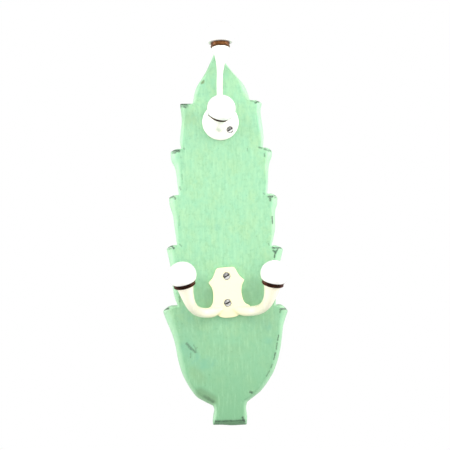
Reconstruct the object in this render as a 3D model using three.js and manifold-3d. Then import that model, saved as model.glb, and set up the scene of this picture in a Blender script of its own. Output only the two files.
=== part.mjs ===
// Wall coat-hook board: a leaf-shaped painted board, a hat-and-coat hook on a round rose above, a
// double hook on a shield-shaped plate below, and four ceramic balls on copper-brown collars.
//
// Millimetres. +Z is up, the wall is the plane y = 0, and the board and hooks stand out towards -Y.
// The origin is on the board's back face, half way up it. Inside the model's own group, z is
// measured from the left corner of the board's stem.

import * as THREE from 'three';
import { mergeVertices } from 'three/addons/utils/BufferGeometryUtils.js';
import Module from 'manifold-3d';

const wasm = await Module();
wasm.setup();

// ---- Driving dimensions ----

const BOARD_TOP = 420;
const BOARD_BOTTOM = -1.4; // the middle and the right corner of the stem's foot
const BOARD_THICKNESS = 18;
const EDGE_BEVEL = 2.4;
const ORIGIN_HEIGHT = (BOARD_TOP + BOARD_BOTTOM) / 2;
const GAP = 0.3; // between two pieces that touch

const BALL_RADIUS = 15.5; // across the ball's axis
const BALL_HALF_HEIGHT = 14.4; // along the axis, from the widest place to the crown
const BALL_SEAT = 7.9; // from the widest place down to the flat that sits on the collar

const STUD_RADIUS = 2; // M4 threaded stud
const STUD_IN_BALL = 11; // how far it goes into the ball
const STUD_IN_ARM = 9;

const SCREW = { headRadius: 4.1, headHeight: 2.5, shankRadius: 1.9, length: 16 };
const ROSE_SCREW = { headRadius: 3.6, headHeight: 2.2, shankRadius: 1.7, length: 16 };
const SMALL_SCREW = { headRadius: 2.7, headHeight: 1.2, shankRadius: 1.2, length: 9 };
const SLOT_WIDTH = 1.1;
const SLOT_DEPTH = 0.9;
const SLOT_ANGLE = 29; // anticlockwise from level, in degrees
const HEAD_RIM = 0.3; // height of the short cylinder round a screw's head
const TIP_LENGTH = 3.5;

const ROSE = { x: -0.7, z: 339.2, radius: 20.5, thickness: 4.4, bossRadius: 8, bossHeight: 7.5 };
const ROSE_SCREW_PLACE = { distance: 13.7, angle: -41.7 }; // the lower right one; the other is opposite

const PLATE = { x: 1.2, z: 152, thickness: 4.6 };
const PLATE_TWIST = -0.6; // of the whole double hook, clockwise from upright, in degrees
const PLATE_LEAN = -2.4; // of the plate's outline, between the two arms
const PLATE_SCREW_SPACING = 30;

const SIDE_COLLAR = { topRadius: 12.4, waistRadius: 11.4, bottomRadius: 12, height: 4.3 };
const FRONT_COLLAR = { topRadius: 10.6, waistRadius: 9.7, bottomRadius: 10.1, height: 3.2 };
const TOP_COLLAR = { topRadius: 10.4, waistRadius: 9.7, bottomRadius: 10.3, height: 4.4 };

const SIDE_ARM_RADIUS = 5.5;
const PRONG_RADIUS = 5;
const LONG_ARM_RADIUS = 3.4;

const HANGER = { x: -1, z: 374, width: 18, height: 46, thickness: 1.5, screwOffset: 18 };
const KEYHOLE = { entryRadius: 5, slotRadius: 2.5, entryZ: -6.5, slotTop: 9 };
const POCKET_DEPTH = 8; // room for the wall screw's head behind the keyhole

const ROUND = 20; // segments round a ball, collar or cup
const ROSE_ROUND = 32;
const SMALL_ROUND = 12; // segments round a screw, stud or arm
const CURVE_STEPS = 2; // between two points of the board's outline

// The widest outline of the board, as x and z: for each tier of the leaf the notch above it, its tip
// and a few points down its side, then the stem.
const RIGHT_TIERS = [
  { notch: [33.1, 363.5], tip: [47.1, 360.4], side: [[45.1, 350], [47.6, 325]] },
  { notch: [46.3, 309.8], tip: [57, 305.8], side: [[56.3, 299.6], [52.8, 290], [51.2, 272]] },
  { notch: [49.7, 257.8], tip: [61.8, 253.5], side: [[61, 245.6], [58.5, 238], [57.6, 219]] },
  { notch: [53.1, 199.2], tip: [66.3, 195], side: [[61.9, 178], [57, 151]] },
];
const LEFT_TIERS = [
  { notch: [-31.2, 360.8], tip: [-45.3, 361.8], side: [[-43.9, 342], [-46.6, 321]] },
  { notch: [-45, 310.8], tip: [-57.5, 307.8], side: [[-57.1, 298.6], [-52.7, 289], [-50.9, 272]] },
  { notch: [-49.3, 259.2], tip: [-60.5, 256.8], side: [[-60.2, 248.6], [-56.8, 236], [-55.2, 220]] },
  { notch: [-53, 202.8], tip: [-64.9, 199.2], side: [[-61.4, 180], [-58.6, 150]] },
];
const RIGHT_CUP = { notch: [55.6, 131.9], tip: [70, 124.9] };
const LEFT_CUP = { notch: [-54.3, 134.6], tip: [-71, 129.2] };
const RIGHT_CUP_SIDE = [
  [64.2, 109], [61.5, 92], [58.4, 76.6], [51.3, 56.9], [38.9, 39], [29.8, 31.2], [20.6, 24.8],
];
const LEFT_CUP_SIDE = [
  [-68.3, 120], [-62.6, 106], [-58.2, 90], [-55.3, 72.5], [-49.1, 53], [-38, 34.2], [-28.8, 27.4],
  [-17.9, 21.6],
];
const RIGHT_STEM = [[19, 17.6], [19.9, 8], [19.2, BOARD_BOTTOM]];
const LEFT_STEM = [[-18.7, 0], [-17.8, 8.5], [-16.4, 15.6]];
const APEX = [-3.6, BOARD_TOP];
const RIGHT_SHOULDER = [[5.6, 407.2], [15.4, 394.6], [28.2, 379]];
const LEFT_SHOULDER = [[-26.8, 378.2], [-15.6, 395.8], [-9.5, 408]];

// ---- Materials ----

const paint = (color, roughness, metalness = 0) =>
  new THREE.MeshStandardMaterial({ color, roughness, metalness });

const mintPaint = paint(0xa6e3b4, 0.7);
const creamEnamel = paint(0xfaf4e2, 0.35);
const whiteGlaze = paint(0xffffff, 0.12);
const antiqueCopper = paint(0x6e4326, 0.4, 0.9);
const steel = paint(0xb8b8b4, 0.35, 1);

// ---- Solids ----

const UP = new THREE.Vector3(0, 0, 1);
const FRONT = new THREE.Vector3(0, -1, 0);

function solidOf(geometry) {
  const bare = geometry.clone();
  bare.deleteAttribute('normal');
  bare.deleteAttribute('uv');
  const merged = mergeVertices(bare, 1e-4);
  return new wasm.Manifold(
    new wasm.Mesh({
      numProp: 3,
      vertProperties: new Float32Array(merged.attributes.position.array),
      triVerts: new Uint32Array(merged.index.array),
    }),
  );
}

function geometryOf(solid) {
  const mesh = solid.getMesh();
  const geometry = new THREE.BufferGeometry();
  geometry.setAttribute('position', new THREE.BufferAttribute(mesh.vertProperties, 3));
  geometry.setIndex(new THREE.BufferAttribute(mesh.triVerts, 1));
  geometry.computeVertexNormals();
  return geometry;
}

// Joins the geometries of the first list and cuts those of the second list from them.
function carve(joined, cutters = []) {
  let solid = solidOf(joined[0]);
  for (const geometry of joined.slice(1)) {
    solid = solid.add(solidOf(geometry));
  }
  for (const geometry of cutters) {
    solid = solid.subtract(solidOf(geometry));
  }
  return geometryOf(solid);
}

// A turned solid about +Z. Its profile is a list of [radius, height].
function turned(profile, segments) {
  const points = profile.map(([radius, height]) => new THREE.Vector2(radius, height));
  return new THREE.LatheGeometry(points, segments).rotateX(Math.PI / 2);
}

// Moves a geometry so that its own +Z points along the direction and its origin is at the point.
function aim(geometry, point, direction) {
  const turn = new THREE.Quaternion().setFromUnitVectors(UP, direction.clone().normalize());
  const matrix = new THREE.Matrix4().compose(point, turn, new THREE.Vector3(1, 1, 1));
  return geometry.applyMatrix4(matrix);
}

function rod(radius, bottom, top) {
  return turned([[0, bottom], [radius, bottom], [radius, top], [0, top]], SMALL_ROUND);
}

// A round bar along a curve.
function bar(curve, radius, steps) {
  const section = new THREE.Shape().absarc(0, 0, radius, 0, 2 * Math.PI);
  const options = { extrudePath: curve, steps, bevelEnabled: false };
  options.curveSegments = SMALL_ROUND / 2;
  return new THREE.ExtrudeGeometry(section, options);
}

// An outline drawn in x and z, standing from y = back to y = back - thickness.
function upright(shape, back, thickness, bevel = 0) {
  const options = { depth: thickness - 2 * bevel, curveSegments: 6, bevelEnabled: bevel > 0 };
  Object.assign(options, { bevelSize: bevel, bevelThickness: bevel, bevelOffset: -bevel });
  options.bevelSegments = 2;
  const geometry = new THREE.ExtrudeGeometry(shape, options);
  return geometry.translate(0, 0, bevel).rotateX(Math.PI / 2).translate(0, back, 0);
}

// ---- Board ----

// Where a tier's top edge, nearly level from its notch, turns down to its tip.
const crest = ({ notch, tip }) => [
  notch[0] + 0.55 * (tip[0] - notch[0]),
  Math.max(notch[1], tip[1]) - 0.4,
];

// A smooth curve from the place the shape has reached through the given points.
function addCurve(shape, points) {
  const knots = points.map(([x, z]) => new THREE.Vector2(x, z));
  const curve = new THREE.SplineCurve([shape.currentPoint.clone(), ...knots]);
  const steps = CURVE_STEPS * points.length;
  curve.getPoints(steps).slice(1, steps).forEach(({ x, y }) => shape.lineTo(x, y));
  shape.lineTo(...points.at(-1));
}

function boardShape() {
  const shape = new THREE.Shape();
  shape.moveTo(...APEX);
  addCurve(shape, [...RIGHT_SHOULDER, RIGHT_TIERS[0].notch]);
  RIGHT_TIERS.forEach((tier, i) => {
    const below = RIGHT_TIERS[i + 1] ?? RIGHT_CUP;
    shape.lineTo(...crest(tier));
    shape.lineTo(...tier.tip);
    addCurve(shape, [...tier.side, below.notch]);
  });
  shape.lineTo(...crest(RIGHT_CUP));
  shape.lineTo(...RIGHT_CUP.tip);
  addCurve(shape, RIGHT_CUP_SIDE);
  RIGHT_STEM.forEach((point) => shape.lineTo(...point));
  shape.lineTo(0, BOARD_BOTTOM);
  LEFT_STEM.forEach((point) => shape.lineTo(...point));
  shape.lineTo(...LEFT_CUP_SIDE.at(-1));
  addCurve(shape, [...LEFT_CUP_SIDE.slice(0, -1).reverse(), LEFT_CUP.tip]);
  shape.lineTo(...crest(LEFT_CUP));
  shape.lineTo(...LEFT_CUP.notch);
  [...LEFT_TIERS].reverse().forEach((tier) => {
    addCurve(shape, [...tier.side.toReversed(), tier.tip]);
    shape.lineTo(...crest(tier));
    shape.lineTo(...tier.notch);
  });
  addCurve(shape, [...LEFT_SHOULDER, APEX]);
  return shape;
}

function screwHoleInBoard({ x, z }) {
  const depth = SCREW.length - ROSE.thickness + GAP;
  const hole = rod(SCREW.shankRadius + GAP, -depth, 1);
  return aim(hole, new THREE.Vector3(x, -BOARD_THICKNESS, z), FRONT);
}

// A slot with round ends, drawn upright about x = 0.
function slotShape(width, bottom, top) {
  const radius = width / 2;
  const shape = new THREE.Shape();
  shape.absarc(0, top - radius, radius, 0, Math.PI);
  shape.absarc(0, bottom + radius, radius, Math.PI, 2 * Math.PI);
  return shape;
}

function hangerRecess() {
  const halfHeight = HANGER.height / 2 + GAP;
  const seat = upright(
    slotShape(HANGER.width + 2 * GAP, -halfHeight, halfHeight), 1, 1 + HANGER.thickness + GAP);
  const headRoom = KEYHOLE.entryRadius + 1;
  const rout = upright(
    slotShape(2 * headRoom, KEYHOLE.entryZ - headRoom, KEYHOLE.slotTop + headRoom - 2), 1,
    1 + POCKET_DEPTH);
  const pilots = [-1, 1].map((side) => {
    const hole = rod(SMALL_SCREW.shankRadius + GAP, 0, SMALL_SCREW.length + 2 * GAP);
    return aim(hole, new THREE.Vector3(0, 0, side * HANGER.screwOffset), FRONT);
  });
  return [seat, rout, ...pilots].map((cutter) => cutter.translate(HANGER.x, 0, HANGER.z));
}

function boardGeometry(screwPlaces) {
  // The bevelled blank is twice as deep as needed, so that only its front edge keeps a bevel.
  const blank = upright(boardShape(), BOARD_THICKNESS, 2 * BOARD_THICKNESS, EDGE_BEVEL);
  const behindWall = new THREE.BoxGeometry(200, 2 * BOARD_THICKNESS, 2 * BOARD_TOP);
  behindWall.translate(0, BOARD_THICKNESS, BOARD_TOP / 2);
  return carve([blank], [behindWall, ...screwPlaces.map(screwHoleInBoard), ...hangerRecess()]);
}

// ---- Knobs: ball, collar and stud about one axis, with the ball's widest place at z = 0 ----

function ballGeometry() {
  const seatAngle = -Math.asin(BALL_SEAT / BALL_HALF_HEIGHT);
  const bore = STUD_RADIUS + GAP;
  const profile = [[0, STUD_IN_BALL + GAP - BALL_SEAT], [bore, STUD_IN_BALL + GAP - BALL_SEAT]];
  profile.push([bore, -BALL_SEAT]);
  const steps = 8;
  for (let i = 0; i <= steps; i += 1) {
    const angle = THREE.MathUtils.lerp(seatAngle, Math.PI / 2, i / steps);
    profile.push([BALL_RADIUS * Math.cos(angle), BALL_HALF_HEIGHT * Math.sin(angle)]);
  }
  profile[profile.length - 1][0] = 0;
  return turned(profile, ROUND);
}

function collarGeometry(collar) {
  const bore = STUD_RADIUS + GAP;
  const top = -BALL_SEAT - GAP;
  const bottom = top - collar.height;
  const lip = 0.2 * collar.height;
  return turned([
    [bore, bottom], [collar.bottomRadius, bottom], [collar.bottomRadius, bottom + lip],
    [collar.waistRadius, bottom + 2 * lip], [collar.waistRadius, top - 2 * lip],
    [collar.topRadius, top - lip], [collar.topRadius, top], [bore, top], [bore, bottom],
  ], ROUND);
}

// How far below the ball's centre the arm's seat for the collar is.
const armSeat = (collar) => BALL_SEAT + collar.height + 2 * GAP;

function studGeometry(collar) {
  return rod(STUD_RADIUS, -armSeat(collar) - STUD_IN_ARM, STUD_IN_BALL - BALL_SEAT);
}

// A flared cup at an arm's end, and the hole in it for the stud.
function cup(knob, armRadius, rimRadius, length) {
  const top = -armSeat(knob.collar);
  const flare = [];
  const steps = 5;
  for (let i = 0; i <= steps; i += 1) {
    const share = i / steps;
    const radius = armRadius + (rimRadius - armRadius) * share ** 1.6;
    flare.push([radius, top - length * (1 - share)]);
  }
  return aim(turned([[0, top - length], ...flare, [0, top]], ROUND), knob.centre, knob.axis);
}

function studHole(knob) {
  const top = -armSeat(knob.collar);
  return aim(rod(STUD_RADIUS + GAP, top - STUD_IN_ARM - GAP, top + 1), knob.centre, knob.axis);
}

// A point on the knob's axis, below the ball's centre.
const below = (knob, distance) => knob.centre.clone().addScaledVector(knob.axis, -distance);

const leaning = (x, y, z) => new THREE.Vector3(x, y, z).normalize();

// Ball centres and axes, from the middle of each plate's back.
const topKnob = {
  centre: new THREE.Vector3(0, -50, 87), axis: leaning(0, 0.09, 1), collar: TOP_COLLAR,
};
const frontKnob = {
  centre: new THREE.Vector3(-0.2, -40, 10.6), axis: leaning(0.19, -0.57, 0.8), collar: FRONT_COLLAR,
};
const leftKnob = {
  centre: new THREE.Vector3(-49.3, -44, 20.3), axis: leaning(-0.205, -0.296, 1), collar: SIDE_COLLAR,
};
const rightKnob = {
  centre: new THREE.Vector3(50.1, -44, 17.8), axis: leaning(0.205, -0.296, 1), collar: SIDE_COLLAR,
};

// ---- Screws, along +Z from the tip to the head's flat ----

function screwGeometry(screw) {
  const { headRadius, headHeight, shankRadius, length } = screw;
  const body = turned([
    [0, -length], [shankRadius, TIP_LENGTH - length], [shankRadius, -headHeight],
    [headRadius, -HEAD_RIM], [headRadius, 0], [0, 0],
  ], SMALL_ROUND);
  const slot = new THREE.BoxGeometry(3 * headRadius, SLOT_WIDTH, 2 * SLOT_DEPTH);
  return carve([body], [slot.rotateZ(THREE.MathUtils.degToRad(SLOT_ANGLE))]);
}

// The countersunk hole for a screw whose head lies flush with z = 0.
function screwHole(screw) {
  const { headRadius, headHeight, shankRadius, length } = screw;
  return turned([
    [0, -length], [shankRadius + GAP, -length], [shankRadius + GAP, -headHeight],
    [headRadius + GAP, -HEAD_RIM], [headRadius + GAP, 1], [0, 1],
  ], SMALL_ROUND);
}

// ---- Upper hook: round rose, long upright arm and short front prong in one casting ----

function roseScrewPlaces() {
  const angle = THREE.MathUtils.degToRad(ROSE_SCREW_PLACE.angle);
  const x = ROSE_SCREW_PLACE.distance * Math.cos(angle);
  const z = ROSE_SCREW_PLACE.distance * Math.sin(angle);
  return [{ x, z }, { x: -x, z: -z }];
}

function roseGeometry() {
  const { radius, thickness, bossRadius, bossHeight } = ROSE;
  const rose = turned([
    [0, GAP], [radius - 0.6, GAP], [radius, 1.4], [radius - 0.9, 3.2], [radius - 3, thickness],
    [bossRadius + 1.2, thickness], [bossRadius - 1, bossHeight - 1], [bossRadius - 3, bossHeight],
    [0, bossHeight],
  ], ROSE_ROUND);
  return aim(rose, new THREE.Vector3(), FRONT);
}

function longArmCurve() {
  return new THREE.CatmullRomCurve3([
    new THREE.Vector3(0, -2.5, 1),
    new THREE.Vector3(-0.4, -11, 9),
    new THREE.Vector3(-0.8, -19.5, 25),
    new THREE.Vector3(-0.8, -31, 43),
    new THREE.Vector3(-0.2, -46, 57),
    new THREE.Vector3(0, -51.6, 70),
  ]);
}

function prongCurve() {
  const end = below(frontKnob, 19);
  return new THREE.CubicBezierCurve3(
    new THREE.Vector3(0, -3, -4),
    new THREE.Vector3(0, -13, -8),
    below(frontKnob, 24),
    end,
  );
}

function upperHookGeometry() {
  const joined = [
    roseGeometry(),
    bar(longArmCurve(), LONG_ARM_RADIUS, 18),
    bar(prongCurve(), PRONG_RADIUS, 8),
    cup(topKnob, LONG_ARM_RADIUS, TOP_COLLAR.bottomRadius - 0.8, 20),
    cup(frontKnob, PRONG_RADIUS, 8.3, 10),
  ];
  const screwHoles = roseScrewPlaces().map(({ x, z }) =>
    aim(screwHole(ROSE_SCREW), new THREE.Vector3(x, -ROSE.thickness, z), FRONT));
  return carve(joined, [...screwHoles, studHole(topKnob), studHole(frontKnob)]);
}

// ---- Double hook: shield plate and two side arms in one casting ----

// Right half of the plate's outline from the middle of its top edge to the middle of its foot, then
// the same points mirrored.
function plateShape() {
  const half = [
    [0, 24.8], [8.4, 24.6], [10.9, 22.6], [14.6, 14.9], [19.4, 9.8], [19.7, 8.2], [16.9, 3.2],
    [15.8, -3], [16.1, -8.5], [17.2, -13.6], [19.6, -17.4], [24, -20.2], [24, -26.5],
    [13.6, -27.6], [9.8, -30.1], [5, -31.4], [0, -31.6],
  ];
  const mirrored = half.slice(1, -1).reverse().map(([x, z]) => [-x, z]);
  const lean = THREE.MathUtils.degToRad(-PLATE_LEAN);
  const middle = new THREE.Vector2();
  const points = [...half, ...mirrored].map(([x, z]) =>
    new THREE.Vector2(x, z).rotateAround(middle, lean));
  return new THREE.Shape(points.reverse());
}

// The arm leaves the foot of the plate, sags a little and turns up into its knob's seat.
function sideArmCurve(knob) {
  const side = Math.sign(knob.centre.x);
  const rootY = -SIDE_ARM_RADIUS - 0.5;
  return new THREE.CubicBezierCurve3(
    new THREE.Vector3(side * 9.5, rootY, -23.6),
    new THREE.Vector3(side * 30, rootY, -27.6),
    below(knob, 42),
    below(knob, 20),
  );
}

function plateScrewPlaces() {
  return [1, -1].map((side) => ({ x: 0, z: side * PLATE_SCREW_SPACING / 2 }));
}

function doubleHookGeometry() {
  const joined = [upright(plateShape(), -GAP, PLATE.thickness - GAP)];
  const holes = plateScrewPlaces().map(({ x, z }) =>
    aim(screwHole(SCREW), new THREE.Vector3(x, -PLATE.thickness, z), FRONT));
  for (const knob of [leftKnob, rightKnob]) {
    joined.push(bar(sideArmCurve(knob), SIDE_ARM_RADIUS, 16));
    joined.push(cup(knob, SIDE_ARM_RADIUS, 9.4, 20));
    holes.push(studHole(knob));
  }
  return carve(joined, holes);
}

// ---- Keyhole hanger let into the back of the board ----

function hangerGeometry() {
  const { width, height, thickness, screwOffset } = HANGER;
  const plate = upright(slotShape(width, -height / 2, height / 2), 0, thickness);
  const { entryRadius, slotRadius, entryZ, slotTop } = KEYHOLE;
  const slot = upright(slotShape(2 * slotRadius, entryZ, slotTop), 1, thickness + 2);
  const entry = rod(entryRadius, -1, thickness + 1);
  aim(entry, new THREE.Vector3(0, 0, entryZ), FRONT);
  const holes = [-1, 1].map((side) =>
    aim(screwHole(SMALL_SCREW), new THREE.Vector3(0, 0, side * screwOffset), FRONT.clone().negate()));
  return carve([plate], [slot, entry, ...holes]);
}

// ---- Assembly ----

function piece(parent, name, geometry, material, place = new THREE.Vector3(), direction = UP) {
  const mesh = new THREE.Mesh(geometry, material);
  mesh.name = name;
  mesh.position.copy(place);
  mesh.quaternion.setFromUnitVectors(UP, direction);
  parent.add(mesh);
}

function addKnob(parent, name, knob) {
  const { centre, axis, collar } = knob;
  piece(parent, `${name}_ball`, ballGeometry(), whiteGlaze, centre, axis);
  piece(parent, `${name}_collar`, collarGeometry(collar), antiqueCopper, centre, axis);
  piece(parent, `${name}_stud`, studGeometry(collar), steel, centre, axis);
}

// A group whose origin is the middle of a hook plate's back, on the board's front face.
function hookGroup(x, z, twist) {
  const group = new THREE.Group();
  group.position.set(x, -BOARD_THICKNESS, z);
  group.rotation.y = THREE.MathUtils.degToRad(twist);
  group.updateMatrix();
  return group;
}

function placesOnBoard(group, places) {
  return places.map(({ x, z }) => new THREE.Vector3(x, 0, z).applyMatrix4(group.matrix));
}

const upperHook = hookGroup(ROSE.x, ROSE.z, 0);
piece(upperHook, 'upper_hook', upperHookGeometry(), creamEnamel);
addKnob(upperHook, 'top', topKnob);
addKnob(upperHook, 'front', frontKnob);
roseScrewPlaces().forEach(({ x, z }, i) => {
  const place = new THREE.Vector3(x, -ROSE.thickness, z);
  const name = ['rose_screw_lower', 'rose_screw_upper'][i];
  piece(upperHook, name, screwGeometry(ROSE_SCREW), steel, place, FRONT);
});

const doubleHook = hookGroup(PLATE.x, PLATE.z, PLATE_TWIST);
piece(doubleHook, 'double_hook', doubleHookGeometry(), creamEnamel);
addKnob(doubleHook, 'left', leftKnob);
addKnob(doubleHook, 'right', rightKnob);
plateScrewPlaces().forEach(({ x, z }, i) => {
  const place = new THREE.Vector3(x, -PLATE.thickness, z);
  const name = ['plate_screw_upper', 'plate_screw_lower'][i];
  piece(doubleHook, name, screwGeometry(SCREW), steel, place, FRONT);
});

const hanger = new THREE.Group();
hanger.position.set(HANGER.x, 0, HANGER.z);
piece(hanger, 'keyhole_hanger', hangerGeometry(), steel);
[-1, 1].forEach((side, i) => {
  const place = new THREE.Vector3(0, 0, side * HANGER.screwOffset);
  const name = ['hanger_screw_lower', 'hanger_screw_upper'][i];
  piece(hanger, name, screwGeometry(SMALL_SCREW), steel, place, FRONT.clone().negate());
});

const screwPlaces = [
  ...placesOnBoard(upperHook, roseScrewPlaces()),
  ...placesOnBoard(doubleHook, plateScrewPlaces()),
];

const model = new THREE.Group();
model.position.z = -ORIGIN_HEIGHT;
piece(model, 'board', boardGeometry(screwPlaces), mintPaint);
model.add(upperHook, doubleHook, hanger);

const coatHookBoard = new THREE.Group();
coatHookBoard.add(model);

export default coatHookBoard;
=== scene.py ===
from contextlib import contextmanager
import math

import bmesh
import bpy
import numpy as np
from mathutils import Matrix, Vector, geometry, noise


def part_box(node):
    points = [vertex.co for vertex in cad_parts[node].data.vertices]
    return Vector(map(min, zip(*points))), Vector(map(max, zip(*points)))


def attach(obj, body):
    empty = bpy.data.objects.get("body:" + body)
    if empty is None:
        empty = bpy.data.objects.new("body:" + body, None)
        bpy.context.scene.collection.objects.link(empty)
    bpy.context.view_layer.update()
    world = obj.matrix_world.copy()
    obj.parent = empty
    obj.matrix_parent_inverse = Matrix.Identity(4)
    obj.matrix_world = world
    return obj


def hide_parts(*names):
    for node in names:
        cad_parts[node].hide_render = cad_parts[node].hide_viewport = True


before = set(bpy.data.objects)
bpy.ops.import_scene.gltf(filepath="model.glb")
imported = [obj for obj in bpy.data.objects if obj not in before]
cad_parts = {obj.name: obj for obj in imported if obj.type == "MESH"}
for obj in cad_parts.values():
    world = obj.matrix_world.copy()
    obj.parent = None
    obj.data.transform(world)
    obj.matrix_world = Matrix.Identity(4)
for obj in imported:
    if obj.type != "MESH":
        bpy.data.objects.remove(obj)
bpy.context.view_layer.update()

# Wall coat-hook board. Shapes are drawn in millimetres and turned into metres as each mesh is made.
# The board is drawn from the bottom of its stem upwards, a hook from the middle of its plate's back.

MM = 0.001

# ---- Board, as the CAD model has it ----

BOARD_FOOT = -1.4
BOARD_THICKNESS = 18.0
APEX = (-3.6, 420.0)
TIP_DEPTH = 8.0         # how far back the carved bevel reaches at a leaf tip
NOTCH_DEPTH = 2.2
POINT_SPACING = 1.0     # between neighbours on the outline

# How deep the bevel is and how worn its edge is along a stretch of the outline: (share, value).
CREST_DEPTH = [(0, NOTCH_DEPTH), (0.5, 3.2), (0.8, 5.5), (1, TIP_DEPTH)]
CREST_WEAR = [(0, 0.35), (0.35, 0.35), (0.6, 1), (1, 1)]
TIER_DEPTH = [(0, TIP_DEPTH), (0.25, 6.4), (0.6, 4.6), (1, NOTCH_DEPTH)]
TIER_WEAR = [(0, 1), (0.05, 0.3), (0.3, 0.15), (0.9, 0.15), (1, 0.35)]
CUP_DEPTH = [(0, TIP_DEPTH), (0.3, 6), (0.8, 4.5), (1, 3)]

# A side of the board from the apex down: its shoulder, then the tiers of the leaf, the cup last.
# A tier is the notch above it, its tip, points down its side, and the line where the flat face
# ends and the carved bevel begins, as (share of the side, x, z), from the crest downwards.
RIGHT_SIDE = {
    "shoulder": [(5.6, 407.2), (15.4, 394.6), (28.2, 379)],
    "shoulder_inner": [(0, -2.9, 414.6), (0.25, 5.6, 403.3), (0.45, 13, 393.7), (0.6, 19, 386.9),
                       (0.75, 21.8, 379), (0.88, 23.6, 371.4), (1, 30.2, 362.4)],
    "shoulder_depth": [(0, 2.5), (0.5, 2.6), (0.8, 5.5), (1, NOTCH_DEPTH)],
    "shoulder_wear": [(0, 0.5), (0.2, 0.15), (1, 0.3)],
    "cup_wear": [(0, 1), (0.03, 0.3), (0.2, 0.2), (1, 0.4)],
    "tiers": [
        ((33.1, 363.5), (47.1, 360.4), [(45.1, 350), (47.6, 325)],
         [(0, 38.6, 360.8), (0.3, 40.2, 346), (0.5, 41.2, 337), (0.8, 43, 321), (1, 43.3, 309.2)]),
        ((46.3, 309.8), (57, 305.8), [(56.3, 299.6), (52.8, 290), (51.2, 272)],
         [(0, 49, 306.8), (0.3, 47.8, 295), (0.7, 48, 272), (1, 46.9, 256.4)]),
        ((49.7, 257.8), (61.8, 253.5), [(61, 245.6), (58.5, 238), (57.6, 219)],
         [(0, 53.6, 253.6), (0.3, 53.4, 240), (0.7, 52.6, 216), (1, 50.4, 198.4)]),
        ((53.1, 199.2), (66.3, 195), [(61.9, 178), (57, 151)],
         [(0, 57.6, 195), (0.2, 55.6, 186), (0.7, 53.8, 157), (1, 53, 131.8)]),
        ((55.6, 131.9), (70, 124.9),
         [(64.2, 109), (61.5, 92), (58.4, 76.6), (51.3, 56.9), (38.9, 39), (29.8, 31.2), (20.6, 24.8)],
         [(0, 61.4, 128.4), (0.15, 59.4, 117), (0.35, 56.6, 97), (0.5, 52.4, 80),
          (0.65, 46.4, 61), (0.85, 31.5, 38.5), (1, 15.8, 27)]),
    ],
}
LEFT_SIDE = {
    "shoulder": [(-9.5, 408), (-15.6, 395.8), (-26.8, 378.2)],
    "shoulder_inner": [(0, -2.9, 414.6), (0.25, -8.6, 404.8), (0.5, -14.8, 393.2), (0.65, -18.4, 383.6),
                       (0.8, -23.4, 373.6), (1, -29.6, 358.6)],
    "shoulder_depth": [(0, 2.5), (0.7, 4), (1, NOTCH_DEPTH)],
    "shoulder_wear": [(0, 0.5), (0.5, 0.3), (1, 0.3)],
    "cup_wear": [(0, 1), (0.05, 0.2), (0.5, 0.1), (0.85, 0.3), (1, 0.5)],
    "tiers": [
        ((-31.2, 360.8), (-45.3, 361.8), [(-43.9, 342), (-46.6, 321)],
         [(0, -39.4, 358.8), (0.3, -40.8, 346), (0.7, -42.2, 324), (1, -43, 310)]),
        ((-45, 310.8), (-57.5, 307.8), [(-57.1, 298.6), (-52.7, 289), (-50.9, 272)],
         [(0, -48.4, 308.2), (0.3, -46, 297), (0.7, -45.6, 273), (1, -47, 257.2)]),
        ((-49.3, 259.2), (-60.5, 256.8), [(-60.2, 248.6), (-56.8, 236), (-55.2, 220)],
         [(0, -53.2, 256), (0.25, -51.2, 243), (0.7, -50.8, 217), (1, -50.8, 201.6)]),
        ((-53, 202.8), (-64.9, 199.2), [(-61.4, 180), (-58.6, 150)],
         [(0, -56.4, 200.2), (0.2, -54.6, 189), (0.7, -53.2, 156), (1, -52, 134)]),
        ((-54.3, 134.6), (-71, 129.2),
         [(-68.3, 120), (-62.6, 106), (-58.2, 90), (-55.3, 72.5), (-49.1, 53), (-38, 34.2),
          (-28.8, 27.4), (-17.9, 21.6)],
         [(0, -59.6, 131.6), (0.15, -56.8, 119), (0.35, -52, 97), (0.5, -49, 78),
          (0.68, -44, 54), (0.85, -31.6, 36.4), (1, -14, 26.2)]),
    ],
}
# The stem starts where the right cup ends and ends where the left cup starts.
RIGHT_STEM = [(20.6, 24.8), (19, 17.6), (19.9, 8), (19.2, BOARD_FOOT)]
LEFT_STEM = [(-18.7, 0), (-17.8, 8.5), (-16.4, 15.6), (-17.9, 21.6)]
RIGHT_STEM_INNER = [(0, 15.8, 27), (0.5, 15, 13), (1, 14.6, 4.6)]
LEFT_STEM_INNER = [(0, -15.4, 5.4), (0.2, -13.2, 10), (0.5, -12, 15), (1, -14, 26.2)]
STEM_DEPTH = [(0, 3), (1, 3)]

# ---- Hooks, as the CAD model has them ----

GAP = 0.3               # between neighbouring pieces
ROSE_THICKNESS = 4.4
ROSE_PROFILE = [
    (0, GAP), (19.9, GAP), (20.4, 0.8), (20.5, 1.6), (20.2, 2.6), (19.4, 3.5), (18.2, 4.2),
    (16.5, ROSE_THICKNESS), (10.5, ROSE_THICKNESS), (9.4, 4.8), (8.3, 6), (7, 7), (5, 7.5), (0, 7.5)]
PLATE_THICKNESS = 4.6
PLATE_EDGE = 2.6        # radius of its rounded front edge
BALL_RADIUS = 15.5
BALL_HALF_HEIGHT = 14.4
BALL_SEAT = 7.9         # how far below its middle the ball is cut flat
STUD_BORE = 2.3
STUD_IN_ARM = 9.3
STUD_IN_BALL = 3.4      # how far above its middle the ball's bore ends
SCREW_HEAD = 4.1
SCREW_LENGTH = 16.0
SCREW_BORE = 2.2
ROSE_SCREW_SIZE = 0.88
SLOT_ANGLE = 29.0
SIDE_COLLAR = {"top": 12.4, "waist": 11.4, "bottom": 12.0, "height": 4.3}
FRONT_COLLAR = {"top": 10.6, "waist": 9.7, "bottom": 10.1, "height": 3.2}
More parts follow.
